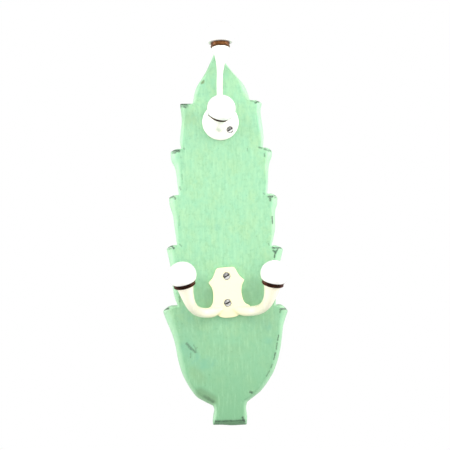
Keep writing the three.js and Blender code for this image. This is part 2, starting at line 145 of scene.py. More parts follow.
TOP_COLLAR = {"top": 10.4, "waist": 9.7, "bottom": 10.3, "height": 4.4}
# An arm's radii at the plate, along it and at the seat's rim; the lengths of its flare and its root.
LONG_ARM = {"root": 4.2, "body": 3.3, "rim": 9.4, "flare": 32.0, "root_length": 10.0}
PRONG = {"root": 6.5, "body": 5.0, "rim": 8.5, "flare": 9.0, "root_length": 6.0}
SIDE_ARM = {"root": 2.4, "body": 5.5, "rim": 9.6, "flare": 32.0, "root_length": 14.0}
HANGER_WIDTH = 18.0
HANGER_HEIGHT = 46.0
HANGER_THICKNESS = 1.5
HANGER_SCREW_AT = 18.0  # above and below its middle
HANGER_SCREW = {"size": 0.65, "length": 9.0, "angle": 20.0}
CASTING_VOXEL = 0.55    # the castings are fused at this size and then smoothed this often
CASTING_ROUNDS = 9
PLATE_LEAN = 2.4    # anticlockwise, in degrees
PLATE_OUTLINE = [
    (0, 24.8), (8.4, 24.6), (10.9, 22.6), (14.6, 14.9), (19.4, 9.8), (19.7, 8.2), (16.9, 3.2),
    (15.8, -3), (16.1, -8.5), (17.2, -13.6), (19.6, -17.4), (24, -20.2), (24, -26.5),
    (13.6, -27.6), (9.8, -30.1), (5, -31.4), (0, -31.6)]


# ---- Mesh helpers ----

def make_object(name, verts, faces, smooth=True):
    mesh = bpy.data.meshes.new(name)
    mesh.from_pydata([tuple(c * MM for c in v) for v in verts], [], faces)
    mesh.polygons.foreach_set("use_smooth", [smooth] * len(mesh.polygons))
    mesh.update()
    obj = bpy.data.objects.new(name, mesh)
    bpy.context.scene.collection.objects.link(obj)
    return obj


def transform(obj, matrix):
    """Moves the mesh itself, in millimetres, so that the object stays at the origin."""
    metres = matrix.copy()
    metres.translation = matrix.translation * MM
    obj.data.transform(metres)
    return obj


def apply_modifiers(obj):
    graph = bpy.context.evaluated_depsgraph_get()
    mesh = bpy.data.meshes.new_from_object(obj.evaluated_get(graph))
    obj.modifiers.clear()
    obj.data = mesh


@contextmanager
def edited(obj):
    """The object's mesh as a bmesh, written back at the end."""
    bm = bmesh.new()
    bm.from_mesh(obj.data)
    yield bm
    bm.to_mesh(obj.data)
    bm.free()


def outward(obj):
    with edited(obj) as bm:
        bmesh.ops.recalc_face_normals(bm, faces=bm.faces)


def join(name, objects):
    mesh = bpy.data.meshes.new(name)
    bm = bmesh.new()
    for obj in objects:
        bm.from_mesh(obj.data)
    bm.to_mesh(mesh)
    bm.free()
    for obj in objects:
        bpy.data.objects.remove(obj)
    obj = bpy.data.objects.new(name, mesh)
    bpy.context.scene.collection.objects.link(obj)
    return obj


def subtract(obj, *groups):
    """Cuts each group of solids away in turn; the solids of one group don't touch each other."""
    for cutters in groups:
        cutter = join("cutter", cutters)
        modifier = obj.modifiers.new("cut", "BOOLEAN")
        modifier.operation = "DIFFERENCE"
        modifier.solver = "EXACT"
        modifier.object = cutter
        apply_modifiers(obj)
        bpy.data.objects.remove(cutter)


def shade_by_angle(obj, degrees):
    """Smooth shading, with a hard edge wherever two faces meet at more than the angle."""
    limit = math.radians(degrees)
    with edited(obj) as bm:
        for face in bm.faces:
            face.smooth = True
        for edge in bm.edges:
            edge.smooth = len(edge.link_faces) == 2 and edge.calc_face_angle(0) < limit


def lathe(name, profile, segments=64):
    """A turned solid about +Z from (radius, height) points; they start and end on the axis or close."""
    verts, faces, rows = [], [], []
    for radius, height in profile:
        if radius < 1e-6:
            rows.append([len(verts)] * segments)
            verts.append((0, 0, height))
            continue
        rows.append(list(range(len(verts), len(verts) + segments)))
        for i in range(segments):
            angle = 2 * math.pi * i / segments
            verts.append((radius * math.cos(angle), radius * math.sin(angle), height))
    closed = profile[0][0] > 1e-6
    pairs = list(zip(rows, rows[1:])) + ([(rows[-1], rows[0])] if closed else [])
    for low, high in pairs:
        for i in range(segments):
            j = (i + 1) % segments
            corners = [low[i], low[j], high[j], high[i]]
            face = [v for k, v in enumerate(corners) if v not in corners[:k]]
            if len(face) > 2:
                faces.append(face)
    return make_object(name, verts, faces)


def rod(radius, bottom, top, segments=32):
    return lathe("rod", [(0, bottom), (radius, bottom), (radius, top), (0, top)], segments)


def aim(obj, point, direction):
    turn = Vector((0, 0, 1)).rotation_difference(Vector(direction).normalized())
    return transform(obj, Matrix.Translation(Vector(point)) @ turn.to_matrix().to_4x4())


def sweep(points, radii, sides=28):
    """A round bar with its own radius at each point of a path, closed by two caps."""
    points = [Vector(p) for p in points]
    tangents = []
    for i in range(len(points)):
        ahead, behind = points[min(i + 1, len(points) - 1)], points[max(i - 1, 0)]
        tangents.append((ahead - behind).normalized())
    across = tangents[0].orthogonal().normalized()
    verts, faces = [], []
    for point, tangent, radius in zip(points, tangents, radii):
        across = (across - tangent * across.dot(tangent)).normalized()
        other = tangent.cross(across)
        for i in range(sides):
            angle = 2 * math.pi * i / sides
            verts.append(point + float(radius) * (math.cos(angle) * across + math.sin(angle) * other))
    for row in range(len(points) - 1):
        a, b = row * sides, (row + 1) * sides
        faces += [(a + i, a + (i + 1) % sides, b + (i + 1) % sides, b + i) for i in range(sides)]
    faces.append(list(range(sides))[::-1])
    faces.append([(len(points) - 1) * sides + i for i in range(sides)])
    return make_object("sweep", verts, faces)


def cubic(a, b, c, d, count):
    """Points of a cubic Bezier curve, both ends included."""
    a, b, c, d = (np.array(p, float) for p in (a, b, c, d))
    t = np.linspace(0, 1, count)[:, None]
    return (1 - t) ** 3 * a + 3 * (1 - t) ** 2 * t * b + 3 * (1 - t) * t ** 2 * c + t ** 3 * d


def spline(knots, count):
    """Points of a Catmull-Rom curve through the knots, both ends included."""
    knots = np.array(knots, float)
    padded = np.vstack([2 * knots[0] - knots[1], knots, 2 * knots[-1] - knots[-2]])
    points = []
    for u in np.linspace(0, len(knots) - 1, count):
        i = min(int(u), len(knots) - 2)
        t = u - i
        p0, p1, p2, p3 = padded[i:i + 4]
        points.append(0.5 * (2 * p1 + (p2 - p0) * t + (2 * p0 - 5 * p1 + 4 * p2 - p3) * t * t
                             + (3 * p1 - p0 - 3 * p2 + p3) * t ** 3))
    return np.array(points)


def slot_outline(width, bottom, top, steps=12):
    """A slot with round ends about x = 0, anticlockwise as (x, z)."""
    radius = width / 2
    points = []
    for turn, middle in ((0, top - radius), (1, bottom + radius)):
        for i in range(steps + 1):
            angle = math.pi * (turn + i / steps)
            points.append((radius * math.cos(angle), middle + radius * math.sin(angle)))
    return points


def prism(name, outline, front, back):
    """A solid with an (x, z) outline between two depths; front is the lower y."""
    n = len(outline)
    verts = [(x, front, z) for x, z in outline] + [(x, back, z) for x, z in outline]
    faces = [(i, (i + 1) % n, n + (i + 1) % n, n + i) for i in range(n)]
    faces += [list(range(n))[::-1], list(range(n, 2 * n))]
    obj = make_object(name, verts, faces, smooth=False)
    outward(obj)
    return obj


def attribute(obj, name, values):
    layer = obj.data.attributes.new(name, "FLOAT", "POINT")
    layer.data.foreach_set("value", np.asarray(values, np.float32))


# ---- Board ----

def stretch_rows(outer, inner, depth, wear):
    """A stretch of the outline as rows of outer x and z, inner x and z, bevel depth and wear, without
    its last point. inner is a list of (share, x, z), depth and wear are lists of (share, value)."""
    outer = np.array(outer, float)
    steps = np.r_[0, np.cumsum(np.linalg.norm(np.diff(outer, axis=0), axis=1))]
    count = max(2, round(steps[-1] / POINT_SPACING))
    share = np.arange(count) / count
    own = np.linspace(0, 1, len(outer))
    along = np.interp(share * steps[-1], steps, own)
    curve = spline([k[1:] for k in inner], 20 * len(inner))
    curve_share = np.interp(np.linspace(0, len(inner) - 1, len(curve)),
                            range(len(inner)), [k[0] for k in inner])
    return np.c_[np.interp(along, own, outer[:, 0]), np.interp(along, own, outer[:, 1]),
                 np.interp(share, curve_share, curve[:, 0]), np.interp(share, curve_share, curve[:, 1]),
                 np.interp(share, *zip(*depth)), np.interp(share, *zip(*wear))]


def crest(notch, notch_inner, tip, tip_inner):
    """Nearly level from the notch, then down to the tip."""
    turn = (notch[0] + 0.55 * (tip[0] - notch[0]), max(notch[1], tip[1]) - 0.4)
    middle = (0.5, 0.5 * (notch_inner[0] + tip_inner[0]), 0.5 * (notch_inner[1] + tip_inner[1]) + 0.5)
    inner = [(0, *notch_inner), middle, (1, *tip_inner)]
    return spline([notch, turn, tip], 24), inner, CREST_DEPTH, CREST_WEAR


def side_stretches(side):
    """The stretches of a side from the apex down to the stem: outer points, inner, depth, wear."""
    tiers = side["tiers"]
    shoulder = spline([APEX, *side["shoulder"], tiers[0][0]], 60)
    stretches = [(shoulder, side["shoulder_inner"], side["shoulder_depth"], side["shoulder_wear"])]
    above = side["shoulder_inner"][-1][1:]
    for i, (notch, tip, edge, inner) in enumerate(tiers):
        stretches.append(crest(notch, above, tip, inner[0][1:]))
        if i + 1 < len(tiers):
            stretches.append((spline([tip, *edge, tiers[i + 1][0]], 60), inner, TIER_DEPTH, TIER_WEAR))
        else:
            stretches.append((spline([tip, *edge], 120), inner, CUP_DEPTH, side["cup_wear"]))
        above = inner[-1][1:]
    return stretches


def board_edge():
    """Walks the outline clockwise as seen from the front, from the apex."""
    def backwards(knots):
        return [(1 - k[0], *k[1:]) for k in reversed(knots)]

    foot = [RIGHT_STEM[-1], (0, BOARD_FOOT), LEFT_STEM[0]]
    stretches = side_stretches(RIGHT_SIDE)
    stretches += [
        (spline(RIGHT_STEM, 30), RIGHT_STEM_INNER, STEM_DEPTH, [(0, 0.2), (0.8, 0.3), (1, 1)]),
        (foot, [(0, *RIGHT_STEM_INNER[-1][1:]), (1, *LEFT_STEM_INNER[0][1:])],
         [(0, 4), (0.1, 5), (0.9, 5), (1, 4)], [(0, 1), (0.2, 0.9), (1, 0.9)]),
        (spline(LEFT_STEM, 30), LEFT_STEM_INNER, STEM_DEPTH, [(0, 0.8), (0.2, 0.2), (1, 0.2)])]
    for outer, *knots in reversed(side_stretches(LEFT_SIDE)):
        stretches.append((outer[::-1], *map(backwards, knots)))
    return np.vstack([stretch_rows(*stretch) for stretch in stretches])


def softened(rows, rounds):
    """Averages neighbours round the outline, which takes the sharpness off tips and corners."""
    for _ in range(rounds):
        rows = 0.5 * rows + 0.25 * (np.roll(rows, 1, axis=0) + np.roll(rows, -1, axis=0))
    return rows


def carved(rows):
    """Small unevenness left by the saw and the rasp."""
    for row in rows:
        place = Vector((row[0], row[1], 0)) / 14
        for column, size, layer in ((0, 0.25, 3), (1, 0.25, 9), (2, 0.7, 17), (3, 0.7, 23), (4, 0.7, 31)):
            row[column] += size * noise.noise(place + Vector((0, 0, layer)))
    return rows


def inset(points, distance):
    """A clockwise outline moved inwards."""
    step = np.roll(points, -1, axis=0) - np.roll(points, 1, axis=0)
    step /= np.maximum(np.linalg.norm(step, axis=1), 1e-9)[:, None]
    return points + distance * np.c_[step[:, 1], -step[:, 0]]


def filled(border, border_index, next_index):
    """Triangles inside a border of known points, over a lattice of new ones that dip and rise a
    little, as a planed and hand-sanded board does."""
    spacing = 5.0
    low, high = border.min(0), border.max(0)
    points = [Vector(p) for p in border]
    lattice = []
    for row in range(int((high[1] - low[1]) / spacing) + 1):
        for column in range(int((high[0] - low[0]) / spacing) + 1):
            x = low[0] + (column + 0.5 * (row % 2)) * spacing
            z = low[1] + (row + 0.5) * spacing
            if np.linalg.norm(border - (x, z), axis=1).min() > 0.6 * spacing:
                lattice.append(Vector((x, z)))
    n = len(points)
    loop = [(i, (i + 1) % n) for i in range(n)]
    result = geometry.delaunay_2d_cdt(points + lattice, loop, [list(range(n))[::-1]], 1, 1e-5)
    used, kinds = result[0], result[3]
    index, fill = {}, []
    for i, sources in enumerate(kinds):
        if sources and sources[0] < n:
            index[i] = border_index + sources[0]
        else:
            x, z = used[i]
            dip = 0.12 * noise.noise(Vector((x / 30, z / 60, 5)))
            index[i] = next_index + len(fill)
            fill.append((x, dip, z))
    return fill, [[index[i] for i in triangle] for triangle in result[2]]


def build_board():
    rows = carved(softened(board_edge(), 2))
    outer, inner, depth, wear = rows[:, :2], rows[:, 2:4], rows[:, 4], rows[:, 5]
    zero = np.zeros(len(rows))
    face = -BOARD_THICKNESS
    edge_depth = face + depth
    rings = [    # points, y, wear and rim, from the back's edge to the edge of the flat face
        (inset(outer, 0.5), zero, zero, zero),
        (inset(outer, 0.15), zero - 0.3, 0.4 * wear, zero + 1),
        (outer, zero - 1.0, 0.4 * wear, zero + 1),
        (outer, 0.5 * (edge_depth - 1.0), 0.2 * wear, zero + 1),
        (outer, edge_depth + 1.2, 0.6 * wear, zero + 1),
        (outer, edge_depth + 0.5, 0.9 * wear, zero + 1)]
    for share in np.arange(9) / 8:
        angle = 0.5 * math.pi * share
        across = 0.55 * share + 0.45 * (1 - math.cos(angle))
        rise = 0.55 * share + 0.45 * math.sin(angle)
        strength = wear * max(0.0, 1 - 0.9 * share)
        rings.append((outer + across * (inner - outer), edge_depth - rise * depth, strength,
                      zero + 1 - across))
    flat_edge = inset(inner, 0.7)
    rings.append((flat_edge, zero + face, zero, zero))
    verts, worn, rim = [], [], []
    for points, y, strength, edge_share in rings:
        verts += [(x, d, z) for (x, z), d in zip(points, y)]
        worn += list(strength)
        rim += list(edge_share)
    n = len(rows)
    faces = []
    for ring in range(len(rings) - 1):
        a, b = ring * n, (ring + 1) * n
        faces += [(a + i, a + (i + 1) % n, b + (i + 1) % n, b + i) for i in range(n)]
    fill, triangles = filled(flat_edge, (len(rings) - 1) * n, len(verts))
    verts += [(x, face + dip, z) for x, dip, z in fill]
    worn += [0.0] * len(fill)
    rim += [0.0] * len(fill)
    faces += triangles
    faces.append(list(range(n)))
    obj = make_object("painted_board", verts, faces)
    attribute(obj, "wear", worn)
    attribute(obj, "rim", rim)
    outward(obj)
    return transform(obj, Matrix.Translation((0, 0, board_bottom)))


def node_centre(name):
    low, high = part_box(name)
    return (low + high) / 2 / MM


board_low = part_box("board")[0]
board_bottom = board_low.z / MM - BOARD_FOOT    # the height z = 0 of the outline
face_y = board_low.y / MM


# ---- Hooks ----

def hook_matrix(first, second, twist=0.0):
    """The frame of a hook: midway between its two screws, on the board's face."""
    middle = (node_centre(first) + node_centre(second)) / 2
    place = Matrix.Translation((middle.x, face_y, middle.z))
    return place @ Matrix.Rotation(twist, 4, "Y")


plate_line = node_centre("plate_screw_upper") - node_centre("plate_screw_lower")
UPPER = hook_matrix("rose_screw_upper", "rose_screw_lower")
DOUBLE = hook_matrix("plate_screw_upper", "plate_screw_lower", math.atan2(plate_line.x, plate_line.z))


def knob(centre, axis, collar):
    return {"centre": Vector(centre), "axis": Vector(axis).normalized(), "collar": collar}


TOP = knob((0, -50, 87), (0, 0.09, 1), TOP_COLLAR)
FRONT = knob((-0.2, -40, 10.6), (0.19, -0.57, 0.8), FRONT_COLLAR)
LEFT = knob((-49.3, -44, 20.3), (-0.205, -0.296, 1), SIDE_COLLAR)
RIGHT = knob((50.1, -44, 17.8), (0.205, -0.296, 1), SIDE_COLLAR)

# The screws of the hooks: the hook, x and z on it, its plate's thickness, and the screw's size.
SCREWS = {
    "rose_screw_lower": (UPPER, 10.2, -9.1, ROSE_THICKNESS, ROSE_SCREW_SIZE),
    "rose_screw_upper": (UPPER, -10.2, 9.1, ROSE_THICKNESS, ROSE_SCREW_SIZE),
    "plate_screw_upper": (DOUBLE, 0, 15, PLATE_THICKNESS, 1.0),
    "plate_screw_lower": (DOUBLE, 0, -15, PLATE_THICKNESS, 1.0),
}


def seat_depth(k):
    return BALL_SEAT + k["collar"]["height"] + 2 * GAP


def below(k, distance):
    return k["centre"] - distance * k["axis"]


def arm(path, k, root, body, rim, flare, root_length):
    """An arm that grows from the plate, keeps its thickness, and opens like a trumpet to the seat."""
    seat = below(k, seat_depth(k))
    points = np.vstack([path, np.array(seat)[None]])
    lengths = np.r_[0, np.cumsum(np.linalg.norm(np.diff(points, axis=0), axis=1))]
    total = lengths[-1]
    count = round(total / 1.2)
    at = np.linspace(0, total, count)
    smooth = np.c_[[np.interp(at, lengths, points[:, i]) for i in range(3)]].T
    radii = []
    for s in at:
        radius = body
        if s < root_length:
            radius = root + (body - root) * math.sin(0.5 * math.pi * s / root_length)
        to_seat = total - s
        if to_seat < flare:
            share = 1 - to_seat / flare
            radius += (rim - body) * (0.35 * share + 0.65 * share ** 3)
        radii.append(radius)
    return sweep(smooth, radii)


def rounded_plate():
    half = spline(PLATE_OUTLINE, 90)
    outline = [tuple(p) for p in half] + [(-x, z) for x, z in half[1:-1][::-1]]
    obj = prism("plate", outline[::-1], -PLATE_THICKNESS, -GAP)
    transform(obj, Matrix.Rotation(-math.radians(PLATE_LEAN), 4, "Y"))
    with edited(obj) as bm:
        front = [e for e in bm.edges if all(v.co.y < -0.9 * PLATE_THICKNESS * MM for v in e.verts)]
        bmesh.ops.bevel(bm, geom=front, offset=PLATE_EDGE * MM, segments=6, profile=0.5, affect="EDGES",
                        clamp_overlap=True)
    return obj


def countersink(x, z, front, size):
    """The hole for a screw whose head lies flush with the plate's front."""
    head = SCREW_HEAD * size + GAP
    profile = [(0, -8), (SCREW_BORE, -8), (SCREW_BORE, -2.5), (head, -0.3), (head, 3), (0, 3)]
    return aim(lathe("countersink", profile, 40), (x, -front, z), (0, -1, 0))


def seat_cut(k):
    """Trims an arm's end flat where the collar sits, and bores it for the stud."""
    top = -seat_depth(k)
    bottom = top - STUD_IN_ARM
    profile = [(0, bottom), (STUD_BORE, bottom), (STUD_BORE, top), (14, top), (14, top + 6), (0, top + 6)]
    return aim(lathe("seat_cut", profile, 48), k["centre"], k["axis"])


def casting(name, parts, matrix, knobs):
    """Fuses the parts into one casting, softens every join, then cuts its screw holes and seats."""
    obj = join(name, parts)
    remesh = obj.modifiers.new("fuse", "REMESH")
    remesh.mode = "VOXEL"
    remesh.voxel_size = CASTING_VOXEL * MM
    remesh.use_smooth_shade = True
    soften = obj.modifiers.new("soften", "SMOOTH")
    soften.factor = 0.5
    soften.iterations = CASTING_ROUNDS
    apply_modifiers(obj)
    holes = [countersink(*place) for hook, *place in SCREWS.values() if hook is matrix]
    subtract(obj, holes + [seat_cut(k) for k in knobs])
    shade_by_angle(obj, 40)
    return transform(obj, matrix)


def build_upper_hook():
    rose = aim(lathe("rose", ROSE_PROFILE), (0, 0, 0), (0, -1, 0))
    path = spline([(0, -2.5, 1), (-0.4, -11, 9), (-0.8, -19.5, 25), (-0.8, -31, 43),
                   (-0.2, -46, 57), (0, -51.6, 69)], 60)
    long_arm = arm(path, TOP, **LONG_ARM)
    path = cubic((0, -3, -4), (0, -13, -8), below(FRONT, 24), below(FRONT, 19), 30)
    prong = arm(path, FRONT, **PRONG)
    return casting("upper_hook_casting", [rose, long_arm, prong], UPPER, (TOP, FRONT))


def side_arm(side, k):
    """Grows out of the plate beside the scallop at its foot, sags a little and turns up."""
    root = cubic((side * 7, -3, -21.5), (side * 12, -4.4, -23.6), (side * 15, -5.4, -24.6),
                 (side * 19, -6, -24.9), 10)
    far = cubic(root[-1], (side * 35, -8.4, -25.2), below(k, 42), below(k, 20), 40)
    return arm(np.vstack([root[:-1], far]), k, **SIDE_ARM)


def build_double_hook():
    parts = [rounded_plate(), side_arm(-1, LEFT), side_arm(1, RIGHT)]
    return casting("double_hook_casting", parts, DOUBLE, (LEFT, RIGHT))


def build_ball(name, k, matrix):
    seat_angle = -math.asin(BALL_SEAT / BALL_HALF_HEIGHT)
    profile = [(0, STUD_IN_BALL), (STUD_BORE, STUD_IN_BALL), (STUD_BORE, -BALL_SEAT)]
    seat_radius = BALL_RADIUS * math.cos(seat_angle)
    profile += [(seat_radius - 1.2, -BALL_SEAT), (seat_radius - 0.3, -BALL_SEAT + 0.05)]
    steps = 36
    for i in range(1, steps + 1):
        angle = seat_angle + (0.5 * math.pi - seat_angle) * i / steps
        radius = BALL_RADIUS * math.cos(angle) if i < steps else 0
        profile.append((radius, BALL_HALF_HEIGHT * math.sin(angle)))
    ball = aim(lathe(name, profile, 72), k["centre"], k["axis"])
    shade_by_angle(ball, 50)
    return transform(ball, matrix)


def rolled_lip(reach, height, radius):
    """Half a round, out to the given reach, from its lowest point to its highest."""
    angles = [math.pi * (i / 6 - 0.5) for i in range(7)]
    return [(reach - radius + radius * math.cos(a), height + radius * math.sin(a)) for a in angles]


def build_collar(name, k, matrix):
    """A spool-shaped ring: two rolled lips with a hollow waist between them."""
    size = k["collar"]
    top = -BALL_SEAT - GAP
    bottom = top - size["height"]
    lip = 0.3 * size["height"]
    rest = 0.5 * (size["height"] - lip) + 0.1
    profile = [(STUD_BORE, bottom), (size["bottom"] - 0.5 * lip, bottom)]
    profile += rolled_lip(size["bottom"], bottom + 0.5 * lip, 0.5 * lip)
    profile += [(size["waist"], bottom + rest), (size["waist"], top - rest)]
    profile += rolled_lip(size["top"], top - 0.5 * lip, 0.5 * lip)
    profile.append((STUD_BORE, top))
    profile = [p for i, p in enumerate(profile) if i == 0 or p != profile[i - 1]]
    collar = aim(lathe(name, profile, 72), k["centre"], k["axis"])
    shade_by_angle(collar, 50)
    return transform(collar, matrix)


def grime_and_shade_on_head(screw, angle, head):
    """Darkens the slot, partly grime and partly painted shade in its recess, and the half of the head
    above it as painted shade; the thin edge of the head is half dark and the half below keeps its bright
    steel.
    """
    turn = math.radians(angle)
    dirt_and_shade = []
    for vertex in screw.data.vertices:
        x, y, z = vertex.co / MM
        above = y * math.cos(turn) - x * math.sin(turn)
        rim = math.hypot(x, y) > 0.9 * head
        in_slot = z < 0 and not rim
        # Painted shade on the upper half of the head; the slot is partly grime, partly painted shade.
        dirt_and_shade.append(1.0 if in_slot else 0.5 if rim else min(max(0.4 + above / 0.8, 0.0), 0.5))
    attribute(screw, "head_grime_and_shade", dirt_and_shade)


def build_screw(name, matrix, x, z, front, size, length=SCREW_LENGTH, angle=SLOT_ANGLE):
    """A slotted countersunk screw with a slightly raised head and a threaded shank."""
    head = SCREW_HEAD * size
    profile = [(0, -length), (0.5 * size, -length + 1), (1.2 * size, -length + 3.5)]
    level = -length + 4.2
    while level < -5.5 * size:
        profile += [(1.9 * size, level), (1.45 * size, level + 0.5)]
        level += 1.1
    profile += [(1.9 * size, -4.6 * size), (1.9 * size, -2.6 * size), (head - 0.25, -0.35),
                (head, -0.1), (head - 0.2, 0.12)]
    for share in (0.85, 0.65, 0.4, 0.2):
        profile.append((head * share, 0.12 + 0.55 * size * (1 - share * share)))
    profile.append((0, 0.12 + 0.55 * size))
    screw = lathe(name, profile, 40)
    across, half = 3 * head, 0.75 * size
    outline = [(-across, -half), (across, -half), (across, half), (-across, half)]
    slot = prism("slot", outline, -1.1 * size, 3)
    transform(slot, Matrix.Rotation(math.radians(90), 4, "X"))
    transform(slot, Matrix.Rotation(math.radians(angle), 4, "Z"))
    subtract(screw, [slot])
    grime_and_shade_on_head(screw, angle, head)
    aim(screw, (x, -front, z), (0, -1 if front > 0 else 1, 0))
    shade_by_angle(screw, 35)
    return transform(screw, matrix)


# ---- Material helpers ----

def new_material(name, **sockets):
    material = bpy.data.materials.new(name)
    material.use_nodes = True
    shader = material.node_tree.nodes["Principled BSDF"]
    for key, value in sockets.items():
        shader.inputs[key.replace("_", " ")].default_value = value
    return material, material.node_tree, shader


def add(tree, kind, inputs=None, **properties):
    """A node with its properties set, and each input either linked or given a value."""
    item = tree.nodes.new("ShaderNode" + kind)
    for key, value in properties.items():
        setattr(item, key, value)
    for key, value in (inputs or {}).items():
        if isinstance(value, bpy.types.NodeSocket):
            tree.links.new(value, item.inputs[key])
        else:
            item.inputs[key].default_value = value
    return item


def calc(tree, operation, a, b=0.0, clamp=False):
    return add(tree, "Math", {0: a, 1: b}, operation=operation, use_clamp=clamp).outputs[0]


def times(tree, a, b):
    return calc(tree, "MULTIPLY", a, b)


def vector(tree, operation, inputs, output=0):
    return add(tree, "VectorMath", inputs, operation=operation).outputs[output]


def rescale(tree, value, low, high, to_low=0.0, to_high=1.0):
    return add(tree, "MapRange", {0: value, 1: low, 2: high, 3: to_low, 4: to_high}).outputs[0]


def mesh_value(tree, name):
    return add(tree, "Attribute", attribute_name=name).outputs["Fac"]


def stretched(tree, scale):
    """Object coordinates in millimetres times a scale, which is one number or one for each axis."""
    coordinates = add(tree, "TexCoord").outputs["Object"]
    scales = [s / MM for s in np.broadcast_to(scale, 3)]
    return add(tree, "Mapping", {"Vector": coordinates, "Scale": scales}).outputs[0]


def grain(tree, scale, detail=3.0, roughness=0.5, distortion=0.0):
    values = {"Vector": stretched(tree, scale), "Scale": 1.0, "Detail": detail,
              "Roughness": roughness, "Distortion": distortion}
    return add(tree, "TexNoise", values).outputs["Fac"]


def blend_colour(tree, share, a, b):
    return add(tree, "Mix", {0: share, 6: a, 7: b}, data_type="RGBA").outputs[2]


def colour(r, g, b):
    """An sRGB colour, 0 to 255, as linear RGBA."""
    def channel(c):
        c /= 255
        return c / 12.92 if c <= 0.04045 else ((c + 0.055) / 1.055) ** 2.4
    return (channel(r), channel(g), channel(b), 1)


def connect(tree, shader, base, roughness, height, strength, distance):
    """Gives the shader its colour, its roughness and a bump of the given height in millimetres."""
    tree.links.new(base, shader.inputs["Base Color"])
    tree.links.new(roughness, shader.inputs["Roughness"])
    values = {"Height": height, "Strength": strength, "Distance": distance * MM}
    tree.links.new(add(tree, "Bump", values).outputs[0], shader.inputs["Normal"])


def stroke(tree, flat, x1, z1, x2, z2, radius, strength):
    """How much of a soft-edged stroke between two points of the board covers this place, up to its
    strength, and below zero away from it. Plain arithmetic nodes keep the long chain light."""
    start = Vector((x1, 0, z1 + board_bottom))
    along = Vector((x2, 0, z2 + board_bottom)) - start
    inverse = along / max(along.length_squared, 1e-6)
    from_start = vector(tree, "SUBTRACT", {0: flat, 1: start})
    share = vector(tree, "DOT_PRODUCT", {0: from_start, 1: inverse}, 1)
    share = calc(tree, "MINIMUM", calc(tree, "MAXIMUM", share, 0.0), 1.0)
    nearest = vector(tree, "SCALE", {0: along, "Scale": share})
    distance = vector(tree, "DISTANCE", {0: from_start, 1: nearest}, 1)
    slope = strength / (0.65 * radius)
    cover = add(tree, "Math", {0: distance, 1: -slope, 2: slope * radius}, operation="MULTIPLY_ADD")
    return calc(tree, "MINIMUM", cover.outputs[0], strength)


def strokes(tree, flat, marks):
    """The strongest of several strokes at this place."""
    total = 0.0
    for mark in marks:
        total = calc(tree, "MAXIMUM", stroke(tree, flat, *mark), total)
    return total


# ---- Materials ----

